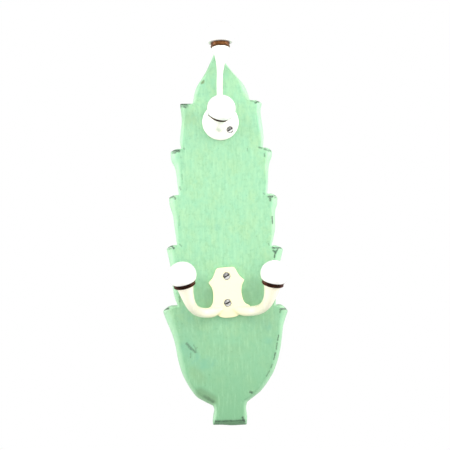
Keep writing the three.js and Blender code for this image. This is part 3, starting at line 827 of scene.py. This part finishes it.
# Paint rubbed and chipped through on the board, and two thin lines of painted shade at the shoulders:
# start and end (x, z), radius, strength.
DARK_MARKS = [
    (-44, 361, -39, 360.2, 2, 1), (-39.5, 360, -34, 361.6, 1.8, 0.8),
    (34, 362.6, 38.5, 361.4, 1.2, 0.35), (39, 360.4, 44, 362.2, 1.7, 0.92),
    (-56, 309, -52, 309.6, 1.8, 0.98), (-52, 309, -48, 308.4, 2.3, 1),
    (-43, 310.8, -42, 310.2, 1.2, 0.5), (-46.2, 301.5, -46, 300.4, 0.9, 0.4),
    (42, 310, 44.5, 309.6, 1.6, 0.75), (47.5, 308.4, 51, 306.9, 1.6, 0.69),
    (52, 306.6, 55, 306.2, 1.8, 0.69), (47.6, 303, 47.8, 299.6, 1, 0.69),
    (-59.6, 256.4, -56, 258, 1.8, 0.86), (-55.6, 257.6, -53.8, 255, 1.6, 0.69),
    (-48.2, 268, -47.6, 265, 1.4, 0.63), (-45.4, 282, -45.2, 276, 0.9, 0.3),
    (51, 254.4, 55.4, 254.4, 1.8, 1), (52.6, 254, 52.8, 251.4, 1.7, 1), (56, 255.2, 59, 255.2, 1, 0.86),
    (57.6, 252.9, 59.8, 253.4, 0.9, 0.69), (45.4, 258.4, 46.6, 257.4, 1.1, 0.4),
    (28.6, 309, 28.6, 306.2, 0.9, 0.5), (-63.2, 200.8, -59.6, 202.6, 1.7, 1),
    (-59.4, 202.4, -57, 199.8, 1.7, 0.98), (-50, 203.6, -48.2, 201.6, 1.2, 0.5),
    (54, 197, 64.5, 196.4, 1.4, 0.98), (54.4, 194, 57, 191.2, 1.4, 0.98),
    (59.8, 195.6, 56.6, 190.6, 1.4, 1), (56.6, 191, 55.6, 186.4, 1.4, 0.92),
    (54.4, 232, 54.8, 224, 1.2, 0.92), (49.2, 201.6, 50.2, 200, 1.1, 0.45),
    (-49.8, 236, -50, 225, 0.8, 0.25), (-70, 131.2, -64.6, 132.4, 1.8, 0.98),
    (60.8, 127.6, 68, 128, 1.7, 1), (61.2, 127, 60, 124.4, 1.3, 0.69),
    (-51.8, 146, -51.8, 140, 1.2, 0.35), (52.6, 134.4, 56.6, 141, 1, 0.4),
    (-45.4, 92.4, -40.6, 86.6, 2.2, 0.6), (-41, 87.4, -36.2, 83, 1.8, 0.6),
    (-37.6, 91, -34.6, 82.2, 0.8, 0.45), (-34, 88, -37, 83, 0.8, 0.4),
    (-41.4, 82, -41.6, 76.6, 0.9, 0.4), (57.8, 98.6, 56.6, 92.6, 1, 0.88),
    (56, 89.8, 54.6, 82.8, 1, 0.77), (53.6, 79, 51.6, 71.6, 1, 0.88), (49.6, 65.8, 48.4, 62.4, 1, 0.72),
    (46.6, 59, 42.8, 53.4, 1, 0.61), (24.2, 36, 25.8, 35.4, 2.2, 0.8), (-27, 33, -18, 27, 2.6, 0.45),
    (14.6, 7.6, 16.4, 3.4, 1.9, 1), (12, 4.6, 14.6, 4.8, 0.9, 0.8),
    (-21.2, 382.6, -18, 386.2, 1.2, 0.35), (-15.8, 4.6, 14, 4.4, 1.1, 0.8),
    (19.4, 360, 20.4, 356, 0.8, 0.25), (-45, 358.6, -37, 358.2, 1.8, 0.6),
    (-41, 357.6, -39.5, 356.8, 1.6, 0.9), (-55, 306.6, -52, 306.8, 1.8, 0.8),
    (52.2, 251.4, 52.6, 250.2, 1.6, 1), (-62, 198.6, -60, 199.4, 1.2, 0.7),
    # These two are painted shade, where the shoulders' flat face turns into the bevel.
    (-10.6, 404.4, -18.2, 391, 1.1, 0.3), (5.2, 403.2, 17.8, 389.4, 0.9, 0.25),
]

# Wide, weak shifts of colour, in the same terms; the dull ones, and the last brown one, are painted
# shade.
BLUE_PATCHES = [
    (-46, 90, -38, 76, 10, 0.4), (-31, 68, -19, 70, 9, 0.3), (-9, 222, -8.6, 221.6, 5, 0.3),
    (43, 113, 47, 106, 6, 0.25), (44, 93, 49, 93, 5, 0.25), (-48, 300, -46, 290, 6, 0.2),
    (-20, 378, -18, 372, 8, 0.2), (-47, 130, -43, 124, 8, 0.25),
]
# Brown patches: stains and a nick in the paint, and, last, painted shade on the cup's downward lower-left
# bevel.
BROWN_PATCHES = [
    (-37, 60, -31, 52, 9, 0.3), (-19.8, 384.2, -18.6, 385.2, 2.4, 0.9), (-8, 84, 14, 84, 9, 0.15),
    (-33, 35, -18, 27, 9, 0.25),
]
# Painted shade: between the plate and the arms, under the cup's lower left and on the stem's downward
# bottom bevel.
PAINTED_SHADE_PATCHES = [
    (-20, 148, -18.5, 136, 9, 0.5), (22, 147, 24, 137, 9, 0.5), (-26, 158, -26, 144, 13, 0.25),
    (30, 156, 31, 144, 13, 0.25), (-32, 38, -19, 29.5, 7.5, 0.6), (-14, 1, 14, 1, 6.5, 1),
    (-51, 358, -36, 346, 12, 0.2),
]


def mint_paint():
    material, tree, shader = new_material("mint_paint", Coat_Weight=0.08, Coat_Roughness=0.35)
    position = stretched(tree, 1)
    wobble = add(tree, "TexNoise", {"Vector": position, "Scale": 0.55, "Detail": 3.0}).outputs["Color"]
    wobble = vector(tree, "SUBTRACT", {0: wobble, 1: (0.5, 0.5, 0.5)})
    moved = vector(tree, "MULTIPLY_ADD", {0: wobble, 1: (2.2, 2.2, 2.2), 2: position})
    flat = vector(tree, "MULTIPLY", {0: moved, 1: (1, 0, 1)})
    place = add(tree, "SeparateXYZ", {0: position})
    on_front = rescale(tree, place.outputs[1], -6.0, -9.5)

    long_grain = grain(tree, (0.4, 0.4, 0.055), 5.0, 0.62)
    fine_grain = grain(tree, (2.2, 1.5, 0.28), 3.0, 0.6)
    cloud = grain(tree, (0.055, 0.05, 0.042), 3.0, 0.55)
    patch = grain(tree, (0.16, 0.14, 0.12), 3.0, 0.6, 0.4)
    mottle = grain(tree, (0.26, 0.26, 0.2), 4.0, 0.65)

    def tinted(share, *rgb):
        return blend_colour(tree, share, paint, colour(*rgb))

    paint = colour(147, 200, 158)
    paint = tinted(rescale(tree, cloud, 0.36, 0.64), 152, 198, 151)
    paint = tinted(rescale(tree, patch, 0.42, 0.7, 0, 0.6), 136, 196, 158)
    paint = tinted(rescale(tree, place.outputs[2], -20.0, -215.0), 114, 168, 124)    # darker towards the lower end: partly the paint's own tone, partly painted shade
    paint = tinted(rescale(tree, long_grain, 0.5, 0.74, 0, 0.34), 112, 174, 126)
    paint = tinted(rescale(tree, long_grain, 0.46, 0.26, 0, 0.3), 178, 226, 182)
    paint = tinted(rescale(tree, mottle, 0.48, 0.74, 0, 0.45), 114, 168, 126)
    speck = grain(tree, (0.75, 0.75, 0.45), 2.0, 0.5)
    paint = tinted(rescale(tree, speck, 0.66, 0.74, 0, 0.35), 84, 132, 96)
    # Paler on the carved bevels: partly painted light, the sheen of bevels turned to the side lamps, and
    # partly paint worn paler.
    paint = tinted(rescale(tree, mesh_value(tree, "rim"), 0.1, 0.8, 0, 0.42), 192, 228, 194)
    uneven = times(tree, rescale(tree, patch, 0.36, 0.6, 0.5, 1.0), on_front)
    paint = tinted(times(tree, strokes(tree, flat, BLUE_PATCHES), uneven), 100, 168, 146)
    # Painted shade: darker green where the hooks and the downward bevels shade the board.
    paint = tinted(times(tree, strokes(tree, flat, PAINTED_SHADE_PATCHES), on_front), 92, 136, 98)
    paint = tinted(times(tree, strokes(tree, flat, BROWN_PATCHES), uneven), 120, 150, 100)

    broken = rescale(tree, grain(tree, (1.3, 1.3, 0.9), 4.0, 0.65), 0.36, 0.56, 0.35, 1.0)
    marks = times(tree, strokes(tree, flat, DARK_MARKS), on_front)
    marks = calc(tree, "MULTIPLY", marks, broken, clamp=True)
    wear = rescale(tree, grain(tree, 0.5, 5.0, 0.7), 0.5, 0.62)
    rub_wear_and_glint = times(tree, mesh_value(tree, "wear"), wear)
    dark = calc(tree, "MAXIMUM", marks, times(tree, rub_wear_and_glint, 0.55), clamp=True)
    paint = tinted(dark, 30, 48, 36)
    relief = calc(tree, "ADD", times(tree, long_grain, 0.8), times(tree, fine_grain, 0.35))
    relief = calc(tree, "SUBTRACT", relief, times(tree, dark, 0.5))
    connect(tree, shader, paint, rescale(tree, fine_grain, 0.3, 0.7, 0.42, 0.62), relief, 0.35, 0.5)
    return material


NEAR_BOARD_TINT_DEPTHS = (-31.0, -23.5)    # painted warm shade and green bounce light on enamel this near the board, in millimetres


def enamel(name, base, light, near_board_tint=None):
    material, tree, shader = new_material(name, Coat_Weight=0.35, Coat_Roughness=0.12)
    cloud = grain(tree, 0.09, 3.0, 0.5)
    fine = grain(tree, 0.7, 4.0, 0.55)
    paint = blend_colour(tree, rescale(tree, cloud, 0.35, 0.65), base, light)
    paint = blend_colour(tree, rescale(tree, fine, 0.62, 0.72, 0, 0.25), paint, colour(222, 210, 180))
    # Painted warm shade and green bounce light: the enamel turns yellower towards the board.
    if near_board_tint:
        depth = add(tree, "SeparateXYZ", {0: stretched(tree, 1)}).outputs[1]
        paint = blend_colour(tree, rescale(tree, depth, *NEAR_BOARD_TINT_DEPTHS), paint, near_board_tint)
    relief = calc(tree, "ADD", times(tree, cloud, 2.0), fine)
    connect(tree, shader, paint, rescale(tree, fine, 0.3, 0.7, 0.24, 0.36), relief, 0.12, 0.4)
    return material


def white_glaze():
    material, tree, shader = new_material("white_glaze", Coat_Weight=0.5, Coat_Roughness=0.03)
    cloud = grain(tree, 0.12, 2.0, 0.5)
    speck = grain(tree, 1.1, 2.0, 0.5)
    share = rescale(tree, cloud, 0.35, 0.65)
    glaze = blend_colour(tree, share, colour(248, 245, 240), colour(250, 249, 246))
    glaze = blend_colour(tree, rescale(tree, speck, 0.74, 0.8, 0, 0.3), glaze, colour(206, 196, 180))
    connect(tree, shader, glaze, rescale(tree, cloud, 0.3, 0.7, 0.08, 0.14), cloud, 0.06, 0.4)
    return material


def antique_copper(name, dark, light, rub_wear_and_glint):
    """Dark patina, with a painted reflection of the side lamps on the faces that turn left and right."""
    material, tree, shader = new_material(name, Metallic=0.7, Specular_IOR_Level=0.15)
    cloud = grain(tree, 0.25, 4.0, 0.6)
    fine = grain(tree, 1.4, 4.0, 0.6)
    metal = blend_colour(tree, rescale(tree, cloud, 0.4, 0.62), dark, light)
    normal = add(tree, "NewGeometry").outputs["Normal"]
    sideways = calc(tree, "ABSOLUTE", add(tree, "SeparateXYZ", {0: normal}).outputs[0])
    # Painted reflection: lighter copper where the collar faces the side lamps.
    metal = blend_colour(tree, rescale(tree, sideways, 0.5, 0.9, 0, 0.7), metal, rub_wear_and_glint)
    metal = blend_colour(tree, rescale(tree, fine, 0.6, 0.75, 0, 0.6), metal, colour(30, 14, 8))
    connect(tree, shader, metal, rescale(tree, fine, 0.3, 0.7, 0.34, 0.52), fine, 0.12, 0.3)
    return material


def steel(name, bright, dark, rough_low, rough_high):
    """Steel darkened where the mesh's own grime-and-shade value says so: grime in slots and painted shade
    on the upper half of screw heads.
    """
    material, tree, shader = new_material(name, Specular_IOR_Level=0.3)
    cloud = grain(tree, 0.5, 4.0, 0.6)
    fine = grain(tree, 2.5, 3.0, 0.6)
    metal = blend_colour(tree, rescale(tree, cloud, 0.42, 0.66), bright, dark)
    dirt_and_shade = mesh_value(tree, "head_grime_and_shade")
    # Grime and painted shade on the screw heads.
    metal = blend_colour(tree, dirt_and_shade, metal, colour(14, 12, 12))
    tree.links.new(rescale(tree, dirt_and_shade, 0.5, 1.0, 0.9, 0.0), shader.inputs["Metallic"])
    connect(tree, shader, metal, rescale(tree, fine, 0.3, 0.7, rough_low, rough_high), fine, 0.12, 0.2)
    return material


MATERIALS = {
    "mint_paint": mint_paint(),
    "white_enamel": enamel("white_enamel", colour(248, 244, 232), colour(250, 247, 238)),
    # Its third colour is painted warm shade and bounce light near the board.
    "cream_enamel": enamel("cream_enamel", colour(246, 240, 214), colour(248, 243, 220),
                           colour(241, 234, 191)),
    "white_glaze": white_glaze(),
    "dark_copper": antique_copper("dark_copper", colour(30, 14, 5), colour(56, 27, 15),
                                  colour(114, 64, 46)),
    # A lighter copy of the copper for the top collar: painted light from above.
    "top_lit_copper": antique_copper("top_lit_copper", colour(86, 51, 24), colour(114, 75, 42),
                                    colour(114, 80, 60)),
    "screw_steel": steel("screw_steel", colour(206, 206, 204), colour(120, 118, 116), 0.2, 0.36),
    "zinc_steel": steel("zinc_steel", colour(196, 200, 202), colour(150, 154, 158), 0.28, 0.45),
}


def finish_piece(obj, material, slot, *nodes):
    obj.data.materials.clear()
    obj.data.materials.append(MATERIALS[material])
    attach(obj, "root")
    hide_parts(*nodes)


# ---- Pieces ----

HANGER_MIDDLE = node_centre("keyhole_hanger")
HANGER = Matrix.Translation((HANGER_MIDDLE.x, 0, HANGER_MIDDLE.z))


def hanger_cutters():
    """The seat for the hanger plate, the rout behind its keyhole, and its two pilot holes."""
    reach = HANGER_HEIGHT / 2 + GAP
    seat = prism("seat", slot_outline(HANGER_WIDTH + 2 * GAP, -reach, reach), -HANGER_THICKNESS - GAP, 3)
    rout = prism("rout", slot_outline(12, -12.5, 13), -8, 3)
    pilots = [aim(rod(1.5, 0.5, 10), (0, 0, side * HANGER_SCREW_AT), (0, -1, 0)) for side in (-1, 1)]
    for cutter in (seat, rout, *pilots):
        transform(cutter, HANGER)
    return [seat], [rout], pilots


def screw_cutters():
    return [transform(aim(rod(SCREW_BORE, -12, 1), (x, 0, z), (0, -1, 0)), hook)
            for hook, x, z, *_ in SCREWS.values()]


def build_hanger():
    reach = HANGER_HEIGHT / 2
    plate = prism("hanger_plate", slot_outline(HANGER_WIDTH, -reach, reach), -HANGER_THICKNESS, 0)
    entry = aim(rod(5, -3, 3, 40), (0, 0, -6.5), (0, -1, 0))
    cutters = [prism("keyhole", slot_outline(5, -6.5, 9, 8), -3, 3)]
    for side in (-1, 1):
        profile = [(0, -4), (1.5, -4), (1.5, -1.4), (3, -0.1), (3, 3), (0, 3)]
        cutters.append(aim(lathe("countersink", profile, 32), (0, 0, side * HANGER_SCREW_AT), (0, 1, 0)))
    subtract(plate, cutters, [entry])
    bevel = plate.modifiers.new("edges", "BEVEL")
    bevel.width = 0.2 * MM
    bevel.segments = 2
    bevel.limit_method = "ANGLE"
    bevel.angle_limit = math.radians(50)
    apply_modifiers(plate)
    shade_by_angle(plate, 30)
    return transform(plate, HANGER)


board = build_board()
subtract(board, screw_cutters(), *hanger_cutters())
shade_by_angle(board, 50)
for polygon in board.data.polygons:
    polygon.use_smooth = polygon.normal.y < 0.999    # the sawn back is flat up to its edge
finish_piece(board, "mint_paint", "mint_paint", "board")
finish_piece(build_upper_hook(), "white_enamel", "cream_enamel", "upper_hook")
finish_piece(build_double_hook(), "cream_enamel", "cream_enamel", "double_hook")

for side, k, matrix, metal in (
        ("top", TOP, UPPER, "top_lit_copper"), ("front", FRONT, UPPER, "dark_copper"),
        ("left", LEFT, DOUBLE, "dark_copper"), ("right", RIGHT, DOUBLE, "dark_copper")):
    ball = build_ball(f"{side}_knob_ball", k, matrix)
    finish_piece(ball, "white_glaze", "white_glaze", f"{side}_ball")
    collar = build_collar(f"{side}_knob_collar", k, matrix)
    finish_piece(collar, metal, "antique_copper", f"{side}_collar")
    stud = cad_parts[f"{side}_stud"]
    stud.data.materials.clear()
    stud.data.materials.append(MATERIALS["zinc_steel"])

for name, place in SCREWS.items():
    finish_piece(build_screw(f"slotted_{name}", *place), "screw_steel", "screw_steel", name)
for name, z in (("hanger_screw_lower", -HANGER_SCREW_AT), ("hanger_screw_upper", HANGER_SCREW_AT)):
    small = build_screw(f"slotted_{name}", HANGER, 0, z, 0, **HANGER_SCREW)
    finish_piece(small, "screw_steel", "screw_steel", name)
finish_piece(build_hanger(), "zinc_steel", "zinc_steel", "keyhole_hanger")


# ---- Floor, light and camera ----

CAMERA_TARGET = (0.0011, -0.018, 0.0147)
CAMERA_AZIMUTH = -2.5
CAMERA_ROLL = 1.65
CAMERA_DISTANCE = 1.05
SOFTBOXES = {    # place, what it points at, width, height, watts
    "left_softbox": ((-1.2, -0.26, 0.25), (0, 0, 0.05), 0.4, 0.9, 11),
    "right_softbox": ((1.2, -0.26, 0.3), (0, 0, 0.08), 0.4, 0.9, 12),
    "top_softbox": ((0.05, -0.66, 0.62), (0, 0, 0.1), 1.2, 0.7, 4.5),
    "front_softbox": ((0.1, -1.7, 0.15), (0, 0, 0), 1.0, 1.0, 8),
}


def build_floor():
    bpy.ops.mesh.primitive_plane_add(size=1)
    floor = bpy.context.object
    floor.name = "studio_floor"
    floor.scale = (2.4, 1.7, 1)
    floor.location = (0, -0.74, -0.28)
    material, _, shader = new_material("floor_white", Roughness=0.9)
    shader.inputs["Base Color"].default_value = (0.86, 0.86, 0.86, 1)
    floor.data.materials.append(material)
    floor.visible_diffuse = False


def area_light(name, location, target, width, height, watts):
    data = bpy.data.lights.new(name, "AREA")
    data.shape = "RECTANGLE"
    data.size = width
    data.size_y = height
    data.energy = watts
    light = bpy.data.objects.new(name, data)
    light.location = location
    light.rotation_euler = (Vector(target) - Vector(location)).to_track_quat("-Z", "Y").to_euler()
    bpy.context.scene.collection.objects.link(light)


def build_world():
    """White for the camera; softer and darker towards the floor as a source of light."""
    world = bpy.data.worlds.new("studio")
    bpy.context.scene.world = world
    world.use_nodes = True
    tree = world.node_tree
    tree.nodes.clear()
    direction = add(tree, "TexCoord").outputs["Generated"]
    up = add(tree, "SeparateXYZ", {0: direction}).outputs[2]
    level = rescale(tree, up, -0.5, 0.7, 0.8, 0.6)
    soft = add(tree, "Background", {"Color": (1, 1, 1, 1), "Strength": level}).outputs[0]
    backdrop = add(tree, "Background", {"Color": (1, 1, 1, 1), "Strength": 1.0}).outputs[0]
    seen = add(tree, "LightPath").outputs["Is Camera Ray"]
    both = add(tree, "MixShader", {0: seen, 1: soft, 2: backdrop}).outputs[0]
    tree.links.new(both, add(tree, "OutputWorld").inputs["Surface"])


def build_camera():
    azimuth, roll = math.radians(CAMERA_AZIMUTH), math.radians(CAMERA_ROLL)
    back = Vector((math.sin(azimuth), -math.cos(azimuth), 0))
    level = (-back).cross(Vector((0, 0, 1))).normalized()
    upright = level.cross(-back)
    right = level * math.cos(roll) - upright * math.sin(roll)
    up = upright * math.cos(roll) + level * math.sin(roll)
    camera = bpy.data.objects.new("camera", bpy.data.cameras.new("camera"))
    camera.data.lens = 75
    camera.data.sensor_width = 36
    place = Matrix.Translation(Vector(CAMERA_TARGET) + CAMERA_DISTANCE * back)
    camera.matrix_world = place @ Matrix((right, up, back)).transposed().to_4x4()
    bpy.context.scene.collection.objects.link(camera)
    bpy.context.scene.camera = camera


build_floor()
build_world()
for name, settings in SOFTBOXES.items():
    area_light(name, *settings)
build_camera()
bpy.context.scene.view_settings.view_transform = "Standard"
